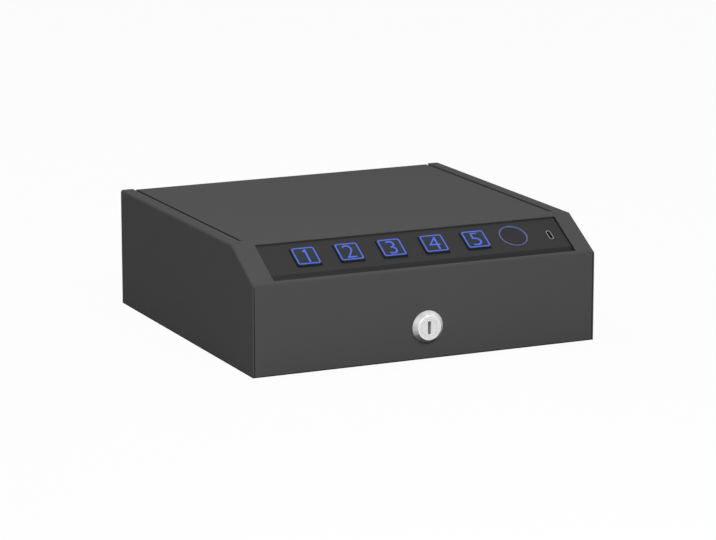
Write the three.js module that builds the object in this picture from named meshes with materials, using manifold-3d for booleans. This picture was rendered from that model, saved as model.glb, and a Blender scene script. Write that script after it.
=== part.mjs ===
// Low desktop safe with a sloping keypad and a hinged top lid.
// Millimetres, +Z up, the front faces -Y, the origin is under the centre of the whole object.

import * as THREE from 'three';
import { mergeVertices } from 'three/addons/utils/BufferGeometryUtils.js';
import Module from 'manifold-3d';

const wasm = await Module();
wasm.setup();

// The case
const caseWidth = 300;
const caseDepth = 284;
const caseHeight = 98;
const slopeRise = 24;
const slopeRun = 42;
const sheet = 1.2;
const edgeRadius = 2.1;
const bendRadius = 1.8;
const seatGap = 0.3;
const overrun = 5;

// The lid opening, its flanges and lips
const flangeWidth = 11;
const openingFront = 52;
const lipDepth = 10;

// The window in the slope, given up the slope from the lower bend. It sits a little to the
// right of the middle.
const windowFromSide = 17.35;
const windowShift = 1.5;
const windowLow = 2.3;
const windowHigh = 45.3;
const studDiameter = 3;
const studLength = 9.5;
const studFromSide = 12;
const studLow = 10;
const studHigh = 40;

// The seams at the front corners
const seamInset = 1;
const seamWidth = 0.6;
const seamDepth = 0.8;

// The lid
const lidSideGap = 2.4;
const lidFrontGap = 1.1;
const lidDrop = 0.25;
const lidSkirt = 8;
const lidEdgeRadius = 0.8;
const lidRearRadius = 3;

// The hinge
const hingeInset = 5;
const hingeBelowTop = 5;
const rodDiameter = 4;
const rodFromLip = 14;
const hingeFromLip = 34;
const earThickness = 2.5;
const earRadius = 4.6;
const earReach = 12;
const bracketThickness = 3;
const bracketReach = 11.5;
const bracketBack = 3.4;
const noseRadius = 3;
const shelfDrop = 6.5;
const shelfDepth = 18;
const springWire = 0.9;
const springPitch = 1.4;
const springLeg = 10;
const springFromLip = 54;

// The keypad panel, with depths square to the slope
const platformSide = 0.3;
const sideBevel = 0.6;
const lowerBevel = 2.7;
const plateFoot = 9.5;
const bezelPlate = 2;
const bezelSideLap = 11;
const bezelLow = 1;
const bezelHigh = 46.3;

// The keys, spaced by shares of the window's width
const keyPitchShare = 0.14022;
const firstKeyShare = -0.35657;
const keyRow = 26.9;
const keyWidth = 20.4;
const keyHoleGap = 0.4;
const keyProud = 0.5;
const keyTravel = 1;
const keyFlange = 1.5;
const keyFlangeThickness = 0.8;
const keyRecess = 9;

// The fingerprint reader and the charging port
const ringAcrossShare = 0.3366;
const ringUp = 28.4;
const ringDiameter = 24.5;
const ringWidth = 1.3;
const ringProud = 0.2;
const sensorSunk = 0.3;
const portFromWindow = 11.65;
const portUp = 25;
const portLength = 10.5;
const portWidth = 4;
const portWall = 0.6;
const portProud = 0.3;
const tongueLength = 6.4;
const tongueThickness = 0.8;
const tongueSunk = 1;
const portFloor = 1;

// The circuit board
const boardGap = 1.8;
const boardThickness = 1.6;
const boardFromWindow = 6;
const boardLow = 4;
const boardHigh = 43;
const bossDiameter = 6;
const bossUp = 38;
const screwDiameter = 2.4;
const screwLength = 6;
const screwHead = 4.6;
const screwHeadHeight = 1.6;
const switchWidth = 6;
const switchHeight = 1.4;
const switchButton = 3.2;
const switchButtonHeight = 0.5;
const nutAcross = 5.5;
const nutHeight = 2.4;

// The key lock
const lockHeightShare = 0.35135;
const lockProud = 4.5;
const lockBase = 26.8;
const lockFace = 19.6;
const lockRim = 0.9;
const barrelDiameter = 19;
const barrelLength = 25;
const plugDiameter = 13.2;
const plugSunk = 0.2;
const keywayWidth = 2.7;
const keywayHeight = 10.4;
const keywayDepth = 18;
const tailDiameter = 7;
const tailLength = 30.5;
const lockNutAcross = 24;
const lockNutHeight = 4;
const camStart = 26;
const camThickness = 2;
const camHub = 6;
const camReach = 11;
const camHalfWidth = 3;
const camNutAcross = 10;
const camNutHeight = 2;

// The link and the bolt, with places measured back from the front
const linkWidth = 8;
const linkStart = 25.5;
const linkStem = 3;
const linkDeep = 32;
const linkOverLock = 7.6;
const linkUnderBolt = 8.4;
const linkShoulderShare = 0.42;
const boltWidth = 14;
const boltStart = 28;
const boltEnd = 62;
const boltUnderBend = 12;
const boltHeight = 6;
const boltTail = 12;
const noseLength = 5.5;
const pullArmStart = 38;
const pullArmThickness = 3;
const pullArmDrop = 6;
const pullArmReach = 31;

// The latch bracket, the bolt guide and the solenoid
const bridgeUnderBolt = 8.5;
const bridgeSheet = 1.5;
const bridgeLeft = -16;
const bridgeRight = 38;
const bridgeFront = 12;
const bridgeRear = 60;
const legFront = 30;
const slotSide = 1.5;
const slotFront = 17;
const slotRear = 44;
const guideStart = 45;
const guideEnd = 53;
const guideWall = 3.5;
const solenoidAcross = 25;
const solenoidUnderBolt = 1;
const solenoidStart = 13;
const solenoidEnd = 29;
const solenoidWidth = 16;
const solenoidSheet = 1.2;
const coilDiameter = 11.4;
const plungerDiameter = 5;
const plungerStart = 23;
const plungerEnd = 44;

// The striker on the lid
const strikerStart = 56.6;
const strikerThickness = 2;
const strikerHalfWidth = 13;
const strikerUnderBolt = 5;
const strikerSill = 3.5;
const strikerSideGap = 1.5;
const strikerTopGap = 2;

// The inner cover, its battery door and the lid bumpers
const coverGap = 2;
const coverDrop = 6;
const coverLip = 10;
const coverShoulderDrop = 11;
const coverSlot = 1.2;
const bumperDiameter = 7;
const bumperFromLip = 44;
const doorLow = 9;
const doorHigh = 31;
const doorLap = 4;
const doorThickness = 1.5;

// The battery tray
const cellDiameter = 14;
const cellLength = 50;
const cellGap = 1;
const trayWall = 1.5;
const trayHeight = 13;
const trayFromSide = 27.8;
const trayFront = 6;
const contactRoom = 2.5;

// The floor
const matThickness = 3;
const boltHoleDiameter = 7;
const boltHoleFromSide = 50;
const boltHoleFromEnd = 44;

// Worked out from the sizes above
const half = 0.5;
const cellCount = 4;
const frontHeight = caseHeight - slopeRise;
const slopeAngle = Math.atan2(slopeRise, slopeRun);
const slopeTangent = slopeRise / slopeRun;
const halfWidth = caseWidth * half;
const innerHalf = halfWidth - sheet;
const openingHalf = halfWidth - flangeWidth;
const insideHalf = innerHalf - seatGap;
const lidHalf = openingHalf - lidSideGap;
const lidTop = caseHeight - lidDrop;
const lidUnder = lidTop - sheet;
const lidFront = openingFront + lidFrontGap;
const frontPlane = -(caseDepth + lockProud) * half + lockProud;
const hingePlace = caseDepth - hingeInset;
const hingeHeight = caseHeight - hingeBelowTop;
const shelfTop = hingeHeight - shelfDrop;
const panelDepth = sheet + seatGap;
const flangeDepth = panelDepth + lowerBevel;
const bezelBack = flangeDepth + bezelPlate;
const keyBack = bezelBack + seatGap;
const keyEnd = keyBack + keyFlangeThickness;
const boardDepth = keyEnd + keyTravel + boardGap * half;
const boardBack = boardDepth + boardThickness;
const switchTop = boardDepth - switchHeight - switchButtonHeight;
const keyCount = 5;
const windowWidth = caseWidth - windowFromSide - windowFromSide;
const keyPitch = windowWidth * keyPitchShare;
const firstKey = windowWidth * firstKeyShare;
const ringAcross = windowWidth * ringAcrossShare;
const portAcross = windowWidth * half - portFromWindow;
const boardWidth = windowWidth - boardFromWindow - boardFromWindow;
const lockHeight = frontHeight * lockHeightShare;
const boltFloor = frontHeight - boltUnderBend;
const bridgeTop = boltFloor - bridgeUnderBolt;
const solenoidAxis = boltFloor - solenoidUnderBolt;
const trayLeft = trayFromSide - innerHalf;
const trayEnds = trayWall + contactRoom;
const trayRear = trayFront + trayEnds + cellLength + trayEnds;
const trayWidth = cellCount * (cellDiameter + cellGap) + cellGap + trayWall + trayWall;
const coverStart = Math.max(trayRear, boltEnd) + coverGap;
const coverTop = caseHeight - coverDrop;
const coverShoulder = caseHeight - coverShoulderDrop;
const reach = caseWidth + caseDepth;

const painted = { color: 0x4d4a4d, roughness: 0.62, metalness: 0.1 };
const plated = { color: 0xb9babc, roughness: 0.38, metalness: 0.9 };
const chromed = { color: 0xd9d9db, roughness: 0.16, metalness: 1 };
const blackPlastic = { color: 0x3a383b, roughness: 0.55, metalness: 0 };
const keyPlastic = { color: 0x413e42, roughness: 0.35, metalness: 0 };
const boardGreen = { color: 0x1d5a3a, roughness: 0.5, metalness: 0 };
const lightPlastic = { color: 0x5a4fd0, roughness: 0.3, metalness: 0 };
const glassBlack = { color: 0x17171b, roughness: 0.12, metalness: 0 };
const rubber = { color: 0x242424, roughness: 0.9, metalness: 0 };
const foam = { color: 0x2b2b2d, roughness: 0.95, metalness: 0 };
const brass = { color: 0xb8923f, roughness: 0.3, metalness: 0.9 };
const copper = { color: 0xa5562b, roughness: 0.4, metalness: 0.8 };
const cellWrap = { color: 0x8a8d92, roughness: 0.4, metalness: 0.3 };

const safe = new THREE.Group();
const body = new THREE.Group();
body.position.y = frontPlane;
safe.add(body);
const slope = new THREE.Group();
slope.position.z = frontHeight;
slope.rotation.x = slopeAngle;
body.add(slope);
slope.updateMatrix();

// Turns a closed geometry into a solid with its faces pointing out.
function solid(geometry) {
  const plain = geometry.clone();
  plain.deleteAttribute('normal');
  plain.deleteAttribute('uv');
  const merged = mergeVertices(plain);
  const points = merged.getAttribute('position').array;
  const index = Uint32Array.from(merged.index.array);
  let volume = 0;
  for (let i = 0; i < index.length; i += 3) {
    const [a, b, c] = [0, 1, 2].map((k) => new THREE.Vector3().fromArray(points, index[i + k] * 3));
    volume += a.dot(b.cross(c));
  }
  if (volume < 0) {
    for (let i = 0; i < index.length; i += 3) {
      [index[i + 1], index[i + 2]] = [index[i + 2], index[i + 1]];
    }
  }
  return new wasm.Manifold(
    new wasm.Mesh({ numProp: 3, vertProperties: Float32Array.from(points), triVerts: index }),
  );
}

// Adds one named piece to the group that carries it.
function piece(parent, name, shape, look) {
  const result = shape.getMesh();
  const geometry = new THREE.BufferGeometry();
  geometry.setAttribute('position', new THREE.BufferAttribute(result.vertProperties, 3));
  geometry.setIndex(new THREE.BufferAttribute(result.triVerts, 1));
  const mesh = new THREE.Mesh(geometry, new THREE.MeshStandardMaterial(look));
  mesh.name = name;
  parent.add(mesh);
}

function box(x0, x1, y0, y1, z0, z1) {
  const geometry = new THREE.BoxGeometry(x1 - x0, y1 - y0, z1 - z0);
  geometry.translate((x0 + x1) * half, (y0 + y1) * half, (z0 + z1) * half);
  return solid(geometry);
}

function outline(points) {
  return new THREE.Shape(points.map(([a, b]) => new THREE.Vector2(a, b)));
}

function extruded(shape, start, end, segments = 6) {
  const geometry = new THREE.ExtrudeGeometry(shape, {
    depth: end - start,
    bevelEnabled: false,
    curveSegments: segments,
  });
  geometry.translate(0, 0, start);
  return geometry;
}

// An outline in Y and Z run along X.
function alongX(shape, start, end, segments) {
  const geometry = extruded(shape, start, end, segments);
  const turn = new THREE.Matrix4().makeBasis(
    new THREE.Vector3(0, 1, 0),
    new THREE.Vector3(0, 0, 1),
    new THREE.Vector3(1, 0, 0),
  );
  return solid(geometry.applyMatrix4(turn));
}

// An outline in X and Z run along Y.
function alongY(shape, start, end, segments) {
  const geometry = extruded(shape, -end, -start, segments);
  return solid(geometry.rotateX(Math.PI * half));
}

// An outline in X and Y run along Z.
function alongZ(shape, start, end, segments) {
  return solid(extruded(shape, start, end, segments));
}

function rodAlongY(radius, x, z, start, end, sides = 24) {
  const geometry = new THREE.CylinderGeometry(radius, radius, end - start, sides);
  return solid(geometry.translate(x, (start + end) * half, z));
}

function rodAlongX(radius, y, z, start, end, sides = 20) {
  const geometry = new THREE.CylinderGeometry(radius, radius, end - start, sides);
  return solid(geometry.rotateZ(Math.PI * half).translate((start + end) * half, y, z));
}

function rodAlongZ(radius, x, y, start, end, sides = 24) {
  const geometry = new THREE.CylinderGeometry(radius, radius, end - start, sides);
  return solid(geometry.rotateX(Math.PI * half).translate(x, y, (start + end) * half));
}

function hexAlongY(across, x, z, start, end) {
  return rodAlongY((across * half) / Math.cos(Math.PI / 6), x, z, start, end, 6);
}

function hexAlongZ(across, x, y, start, end) {
  return rodAlongZ((across * half) / Math.cos(Math.PI / 6), x, y, start, end, 6);
}

// A straight-sided outline whose two upper corners are rounded.
function toppedOutline(left, right, bottom, top, leftRadius, rightRadius) {
  const shape = new THREE.Shape();
  shape.moveTo(left, bottom);
  shape.lineTo(right, bottom);
  shape.lineTo(right, top - rightRadius);
  shape.absarc(right - rightRadius, top - rightRadius, rightRadius, 0, Math.PI * half, false);
  shape.lineTo(left + leftRadius, top);
  shape.absarc(left + leftRadius, top - leftRadius, leftRadius, Math.PI * half, Math.PI, false);
  return shape;
}

// Moves a solid made in the slope's own frame to the case's frame.
function onSlope(shape) {
  return shape.transform(slope.matrix.toArray());
}

// The side outline of the case, set in by one wall, with its two bends rounded.
function sideOutline(wall, rear, foot) {
  const low = frontHeight + wall * slopeTangent - wall / Math.cos(slopeAngle);
  const high = (caseHeight - wall - frontHeight + wall / Math.cos(slopeAngle)) / slopeTangent;
  const radius = bendRadius + sheet - wall;
  const top = caseHeight - wall;
  const lowTurn = Math.PI * half - slopeAngle;
  const lowCut = radius * Math.tan(lowTurn * half);
  const highCut = radius * Math.tan(slopeAngle * half);
  const shape = new THREE.Shape();
  shape.moveTo(wall, foot);
  shape.lineTo(rear, foot);
  shape.lineTo(rear, top);
  shape.lineTo(high + highCut, top);
  shape.absarc(high + highCut, top - radius, radius, Math.PI * half, Math.PI * half + slopeAngle, false);
  shape.absarc(wall + radius, low - lowCut, radius, Math.PI * half + slopeAngle, Math.PI, false);
  return shape;
}

// One folded and welded sheet: sides, flanges, lips, front strip, slope and front.
function caseShell() {
  const skin = alongX(sideOutline(0, caseDepth, 0), -halfWidth, halfWidth)
    .intersect(alongY(
      toppedOutline(-halfWidth, halfWidth, 0, caseHeight, edgeRadius, edgeRadius),
      -overrun,
      caseDepth + overrun,
    ));
  const slopeBar = alongY(
    toppedOutline(-halfWidth, halfWidth, -reach, 0, edgeRadius, edgeRadius),
    -reach,
    reach,
  );
  const inside = alongX(sideOutline(sheet, caseDepth + overrun, -overrun), -innerHalf, innerHalf);
  const lipFloor = caseHeight - lipDepth;
  let shell = skin.intersect(onSlope(slopeBar)).subtract(inside);
  shell = shell.subtract(box(
    -openingHalf, openingHalf, openingFront, caseDepth + overrun, lipFloor, caseHeight + overrun,
  ));
  const lipTop = caseHeight - sheet * half;
  const lipOuter = openingHalf + sheet;
  const lipRear = caseDepth - sheet - seatGap;
  shell = shell
    .add(box(openingHalf, lipOuter, openingFront - sheet, lipRear, lipFloor, lipTop))
    .add(box(-lipOuter, -openingHalf, openingFront - sheet, lipRear, lipFloor, lipTop))
    .add(box(-lipOuter, lipOuter, openingFront - sheet, openingFront, lipFloor, lipTop));
  const windowHalf = windowWidth * half;
  shell = shell.subtract(onSlope(box(
    windowShift - windowHalf, windowShift + windowHalf, windowLow, windowHigh,
    -sheet - sheet, overrun,
  )));
  for (const side of [-1, 1]) {
    for (const up of [studLow, studHigh]) {
      const across = side * (halfWidth - studFromSide);
      shell = shell.add(onSlope(rodAlongZ(
        studDiameter * half, across, up, -studLength, -sheet * half, 12,
      )));
    }
    const seam = side * (halfWidth - seamInset - seamWidth * half);
    shell = shell.subtract(box(
      seam - seamWidth * half, seam + seamWidth * half,
      -overrun, seamDepth, -overrun, frontHeight - bendRadius,
    ));
  }
  return shell.subtract(rodAlongY(
    barrelDiameter * half + seatGap, 0, lockHeight, -overrun, overrun, 32,
  ));
}

// The rear sheet between the sides, with the shelf that carries the hinge.
function rearPanel() {
  const cornerInner = openingHalf - lidSideGap * half;
  const cornerTop = caseHeight - sheet - seatGap;
  const shape = outline([
    [-insideHalf, 0], [insideHalf, 0], [insideHalf, cornerTop], [cornerInner, cornerTop],
    [cornerInner, shelfTop], [-cornerInner, shelfTop], [-cornerInner, cornerTop],
    [-insideHalf, cornerTop],
  ]);
  return alongY(shape, caseDepth - sheet, caseDepth)
    .add(box(
      -cornerInner, cornerInner, caseDepth - shelfDepth, caseDepth, shelfTop - sheet, shelfTop,
    ));
}

function basePlate() {
  let plate = box(
    -insideHalf, insideHalf, sheet + seatGap, caseDepth - sheet - seatGap, 0, sheet,
  );
  for (const across of [boltHoleFromSide - halfWidth, halfWidth - boltHoleFromSide]) {
    for (const back of [coverStart + boltHoleFromEnd, caseDepth - boltHoleFromEnd]) {
      plate = plate.subtract(rodAlongZ(
        boltHoleDiameter * half, across, back, -overrun, overrun, 20,
      ));
    }
  }
  return plate;
}

// The lid is a shallow pan with its edges turned down.
function lidPlate() {
  const foot = lidTop - lidSkirt;
  const outer = alongX(
    toppedOutline(lidFront, caseDepth, foot, lidTop, lidEdgeRadius, lidRearRadius),
    -lidHalf,
    lidHalf,
  ).intersect(alongY(
    toppedOutline(-lidHalf, lidHalf, foot - overrun, lidTop, lidEdgeRadius, lidEdgeRadius),
    0,
    caseDepth + overrun,
  ));
  return outer.subtract(box(
    sheet - lidHalf, lidHalf - sheet, lidFront + sheet, caseDepth - sheet, foot - overrun, lidUnder,
  ));
}

// The plate that hangs from the lid and takes the nose of the bolt.
function striker() {
  const strikerFoot = boltFloor - strikerUnderBolt;
  const sill = strikerFoot + strikerSill;
  const windowHalf = boltWidth * half + strikerSideGap;
  const plate = box(
    -strikerHalfWidth, strikerHalfWidth, strikerStart, strikerStart + strikerThickness,
    strikerFoot, lidUnder - seatGap,
  );
  return plate
    .add(box(
      -strikerHalfWidth, strikerHalfWidth, strikerStart, strikerStart + strikerHalfWidth * half,
      lidUnder - seatGap - strikerThickness, lidUnder - seatGap,
    ))
    .subtract(box(
      -windowHalf, windowHalf, strikerStart - overrun, strikerStart + overrun,
      sill, boltFloor + boltHeight + strikerTopGap,
    ));
}

function hingeEar(start) {
  const end = start + earThickness;
  const top = lidUnder - seatGap;
  return rodAlongX(earRadius, hingePlace, hingeHeight, start, end)
    .intersect(box(start, end, hingePlace - overrun, hingePlace + bracketBack, 0, top))
    .add(box(
      start, end, hingePlace - earReach, hingePlace, hingeHeight - rodDiameter * half, top,
    ))
    .subtract(rodAlongX(
      rodDiameter * half + seatGap, hingePlace, hingeHeight, start - overrun, end + overrun,
    ));
}

function hingeBracket(start) {
  const end = start + bracketThickness;
  const top = hingeHeight + noseRadius - sheet * half;
  const nose = rodAlongX(noseRadius, hingePlace, hingeHeight, start, end)
    .add(box(
      start, end, hingePlace - bracketBack - sheet, hingePlace, hingeHeight - noseRadius, top,
    ))
    .intersect(box(start, end, hingePlace - overrun, hingePlace + overrun, 0, top));
  return nose
    .add(box(
      start, end, hingePlace - bracketReach, hingePlace - bracketBack, shelfTop, top,
    ))
    .subtract(rodAlongX(
      rodDiameter * half + seatGap, hingePlace, hingeHeight, start - overrun, end + overrun,
    ));
}

function hingeRod() {
  const end = openingHalf - rodFromLip;
  return rodAlongX(rodDiameter * half, hingePlace, hingeHeight, -end, end, 16);
}

// A coil round the rod, with one leg under the lid and one on the shelf.
function torsionSpring(start) {
  const turns = 8.5;
  const stepsPerTurn = 12;
  const radius = rodDiameter * half + seatGap + springWire * half;
  const path = [new THREE.Vector3(start, hingePlace - springLeg, hingeHeight + radius)];
  for (let i = 0; i <= turns * stepsPerTurn; i += 1) {
    const share = i / stepsPerTurn;
    const angle = Math.PI * half - share * Math.PI * 2;
    path.push(new THREE.Vector3(
      start + share * springPitch,
      hingePlace + radius * Math.cos(angle),
      hingeHeight + radius * Math.sin(angle),
    ));
  }
  const end = start + turns * springPitch;
  const foot = shelfTop + seatGap + springWire * half;
  path.push(new THREE.Vector3(end, hingePlace - springLeg, foot));
  return tube(path, springWire * half);
}

// A closed tube of five sides through the given points.
function tube(path, radius) {
  const sides = 5;
  const points = [];
  const index = [];
  let normal = new THREE.Vector3(1, 0, 0);
  path.forEach((point, i) => {
    const before = path[Math.max(i - 1, 0)];
    const after = path[Math.min(i + 1, path.length - 1)];
    const along = after.clone().sub(before).normalize();
    normal = normal.clone().addScaledVector(along, -normal.dot(along)).normalize();
    const other = along.clone().cross(normal);
    for (let k = 0; k < sides; k += 1) {
      const angle = (k / sides) * Math.PI * 2;
      const place = point.clone()
        .addScaledVector(normal, radius * Math.cos(angle))
        .addScaledVector(other, radius * Math.sin(angle));
      points.push(...place.toArray());
    }
  });
  for (let i = 0; i + 1 < path.length; i += 1) {
    for (let k = 0; k < sides; k += 1) {
      const next = (k + 1) % sides;
      const a = i * sides;
      const b = a + sides;
      index.push(a + k, a + next, b + next, a + k, b + next, b + k);
    }
  }
  const last = (path.length - 1) * sides;
  for (let k = 1; k + 1 < sides; k += 1) {
    index.push(0, k + 1, k, last, last + k, last + k + 1);
  }
  const geometry = new THREE.BufferGeometry();
  geometry.setAttribute('position', new THREE.Float32BufferAttribute(points, 3));
  geometry.setIndex(index);
  return solid(geometry);
}

// The panel: a flange behind the sheet and a raised platform with bevelled edges.
function keypadBezel() {
  const side = windowWidth * half - platformSide;
  const low = plateFoot - lowerBevel;
  const profile = outline([
    [bezelHigh, -bezelBack], [bezelHigh, -panelDepth], [plateFoot, -panelDepth],
    [low, -flangeDepth], [bezelLow, -flangeDepth], [bezelLow, -bezelBack],
  ]);
  const left = windowShift - side;
  const right = windowShift + side;
  const sides = outline([
    [left - bezelSideLap, -bezelBack], [right + bezelSideLap, -bezelBack],
    [right + bezelSideLap, -flangeDepth], [right, -flangeDepth],
    [right, -panelDepth - sideBevel], [right - sideBevel, -panelDepth],
    [left + sideBevel, -panelDepth], [left, -panelDepth - sideBevel],
    [left, -flangeDepth], [left - bezelSideLap, -flangeDepth],
  ]);
  let bezel = alongX(profile, -halfWidth, halfWidth).intersect(alongY(sides, -reach, reach));
  const holeHalf = keyWidth * half + keyHoleGap;
  for (let i = 0; i < keyCount; i += 1) {
    const across = firstKey + i * keyPitch;
    bezel = bezel.subtract(box(
      across - holeHalf, across + holeHalf, keyRow - holeHalf, keyRow + holeHalf,
      -bezelBack - overrun, overrun,
    ));
  }
  for (const across of bossPlaces()) {
    bezel = bezel.add(rodAlongZ(
      bossDiameter * half, across, bossUp, seatGap - boardDepth, -bezelBack + bezelPlate * half, 16,
    )).subtract(rodAlongZ(
      screwDiameter * half + seatGap, across, bossUp,
      -boardDepth - overrun, seatGap + screwLength - boardDepth, 12,
    ));
  }
  for (const across of [studFromSide - halfWidth, halfWidth - studFromSide]) {
    for (const up of [studLow, studHigh]) {
      bezel = bezel.subtract(rodAlongZ(
        studDiameter * half + seatGap, across, up, -bezelBack - overrun, overrun, 16,
      ));
    }
  }
  return bezel
    .subtract(rodAlongZ(
      ringDiameter * half + seatGap, ringAcross, ringUp, -bezelBack - overrun, overrun, 40,
    ))
    .subtract(alongZ(portOutline(seatGap), -bezelBack - overrun, overrun));
}

// The bosses stand beside the first key, between keys, and between the ring and the port.
function bossPlaces() {
  const places = [-1, 3, 7].map((count) => firstKey + count * keyPitch * half);
  return [...places, (ringAcross + portAcross) * half];
}

// The port's outline, its long side up the slope, grown by the given amount.
function portOutline(grow) {
  const radius = portWidth * half + grow;
  const straight = (portLength - portWidth) * half;
  const shape = new THREE.Shape();
  shape.moveTo(portAcross + radius, portUp - straight);
  shape.lineTo(portAcross + radius, portUp + straight);
  shape.absarc(portAcross, portUp + straight, radius, 0, Math.PI, false);
  shape.lineTo(portAcross - radius, portUp - straight);
  shape.absarc(portAcross, portUp - straight, radius, Math.PI, Math.PI * 2, false);
  return shape;
}

function chargingPort() {
  return alongZ(portOutline(0), seatGap - boardDepth, portProud - panelDepth)
    .subtract(alongZ(
      portOutline(-portWall), seatGap + portFloor - boardDepth, overrun,
    ));
}

function portTongue() {
  const wide = tongueLength * half;
  const thick = tongueThickness * half;
  return box(
    portAcross - thick, portAcross + thick, portUp - wide, portUp + wide,
    seatGap + seatGap + portFloor - boardDepth, -panelDepth - tongueSunk,
  );
}

function key(across) {
  const wide = keyWidth * half;
  const flange = wide + keyFlange;
  const recess = keyRecess * half;
  return box(across - wide, across + wide, keyRow - wide, keyRow + wide, -keyEnd, keyProud)
    .add(box(
      across - flange, across + flange, keyRow - flange, keyRow + flange, -keyEnd, -keyBack,
    ))
    .subtract(box(
      across - recess, across + recess, keyRow - recess, keyRow + recess,
      -keyEnd - overrun, seatGap + keyTravel - switchTop,
    ));
}

function tactSwitch(across) {
  const wide = switchWidth * half;
  return box(
    across - wide, across + wide, keyRow - wide, keyRow + wide,
    -boardDepth, switchHeight - boardDepth,
  ).add(rodAlongZ(
    switchButton * half, across, keyRow, switchHeight * half - boardDepth, -switchTop, 16,
  ));
}

function circuitBoard() {
  const wide = boardWidth * half;
  let board = box(-wide, wide, boardLow, boardHigh, -boardBack, -boardDepth);
  for (const across of bossPlaces()) {
    board = board.subtract(rodAlongZ(
      screwDiameter * half + seatGap, across, bossUp, -boardBack - overrun, overrun, 12,
    ));
  }
  return board;
}

function boardScrew(across) {
  const head = -boardBack - seatGap;
  return rodAlongZ(screwHead * half, across, bossUp, head - screwHeadHeight, head, 16)
    .add(rodAlongZ(
      screwDiameter * half, across, bossUp, head - screwHeadHeight * half,
      screwLength - boardDepth, 12,
    ));
}

function bezelNut(across, up) {
  const top = -bezelBack - seatGap;
  return hexAlongZ(nutAcross, across, up, top - nutHeight, top)
    .subtract(rodAlongZ(studDiameter * half + seatGap, across, up, -reach, 0, 12));
}

function fingerprintRing() {
  const outer = ringDiameter * half;
  return rodAlongZ(outer, ringAcross, ringUp, seatGap - boardDepth, ringProud - panelDepth, 40)
    .subtract(rodAlongZ(outer - ringWidth, ringAcross, ringUp, -reach, overrun, 40));
}

function fingerprintSensor() {
  return rodAlongZ(
    ringDiameter * half - ringWidth - seatGap, ringAcross, ringUp,
    seatGap - boardDepth, -panelDepth - sensorSunk, 40,
  );
}

// The lock's cone stands on the front and its barrel runs in.
function lockHousing() {
  const bore = plugDiameter * half + seatGap;
  const profile = [
    [bore, -lockProud], [lockFace * half, -lockProud], [lockBase * half, -lockRim],
    [lockBase * half, -seatGap], [barrelDiameter * half, -seatGap],
    [barrelDiameter * half, barrelLength], [bore, barrelLength], [bore, -lockProud],
  ].map(([a, b]) => new THREE.Vector2(a, b));
  const geometry = new THREE.LatheGeometry(profile, 48);
  return solid(geometry.translate(0, 0, lockHeight));
}

function lockPlug() {
  const face = plugSunk - lockProud;
  const wide = keywayWidth * half;
  const tall = keywayHeight * half;
  return rodAlongY(plugDiameter * half, 0, lockHeight, face, barrelLength + seatGap, 32)
    .add(rodAlongY(tailDiameter * half, 0, lockHeight, barrelLength, tailLength, 24))
    .subtract(box(
      -wide, wide, face - overrun, face + keywayDepth, lockHeight - tall, lockHeight + tall,
    ));
}

function lockNut() {
  const start = sheet + seatGap;
  return hexAlongY(lockNutAcross, 0, lockHeight, start, start + lockNutHeight)
    .subtract(rodAlongY(barrelDiameter * half + seatGap, 0, lockHeight, 0, reach, 32));
}

function lockCam() {
  const end = camStart + camThickness;
  return rodAlongY(camHub, 0, lockHeight, camStart, end)
    .add(box(
      -camReach, 0, camStart, end, lockHeight - camHalfWidth, lockHeight + camHalfWidth,
    ))
    .add(rodAlongY(camHalfWidth, -camReach, lockHeight, camStart, end))
    .subtract(rodAlongY(tailDiameter * half + seatGap, 0, lockHeight, 0, reach));
}

function camNut() {
  const start = camStart + camThickness + seatGap;
  return hexAlongY(camNutAcross, 0, lockHeight, start, start + camNutHeight)
    .subtract(rodAlongY(tailDiameter * half + seatGap, 0, lockHeight, 0, reach));
}

// The link's slanted top drives the slanted tail of the bolt.
function releaseLink() {
  const stem = linkStart + linkStem;
  const foot = lockHeight + linkOverLock;
  const tip = boltFloor - linkUnderBolt;
  const shoulder = foot + (tip - foot) * linkShoulderShare;
  const shape = outline([
    [linkStart, foot], [stem, foot], [stem, shoulder], [linkDeep, shoulder + linkStem],
    [linkDeep, tip], [linkStart, tip + linkStart - linkDeep],
  ]);
  return alongX(shape, -linkWidth * half, linkWidth * half);
}

function latchBolt() {
  const top = boltFloor + boltHeight;
  const shape = outline([
    [boltStart, top], [boltStart, boltFloor - boltTail], [boltStart + boltTail, boltFloor],
    [boltEnd, boltFloor], [boltEnd, top - noseLength], [boltEnd - noseLength, top],
  ]);
  return alongX(shape, -boltWidth * half, boltWidth * half)
    .add(box(
      boltWidth * half - sheet, pullArmReach, pullArmStart, pullArmStart + pullArmThickness,
      boltFloor - sheet, top,
    ))
    .add(box(
      solenoidAcross - boltHeight, pullArmReach, pullArmStart, pullArmStart + pullArmThickness,
      boltFloor - pullArmDrop, top,
    ))
    .subtract(rodAlongY(
      plungerDiameter * half + seatGap, solenoidAcross, solenoidAxis,
      pullArmStart - overrun, pullArmStart + overrun, 20,
    ));
}

function solenoidPlunger() {
  return rodAlongY(
    plungerDiameter * half, solenoidAcross, solenoidAxis, plungerStart, plungerEnd, 20,
  );
}

function solenoidFrame() {
  const wide = solenoidWidth * half;
  const foot = bridgeTop + seatGap;
  const top = solenoidAxis + solenoidAxis - foot;
  const hole = rodAlongY(
    plungerDiameter * half + seatGap, solenoidAcross, solenoidAxis,
    solenoidEnd - overrun, solenoidEnd + overrun, 20,
  );
  return box(
    solenoidAcross - wide, solenoidAcross + wide, solenoidStart, solenoidEnd, foot, top,
  ).subtract(box(
    solenoidAcross - wide - overrun, solenoidAcross + wide + overrun,
    solenoidStart + solenoidSheet, solenoidEnd - solenoidSheet,
    foot + solenoidSheet, top - solenoidSheet,
  )).subtract(hole);
}

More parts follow.
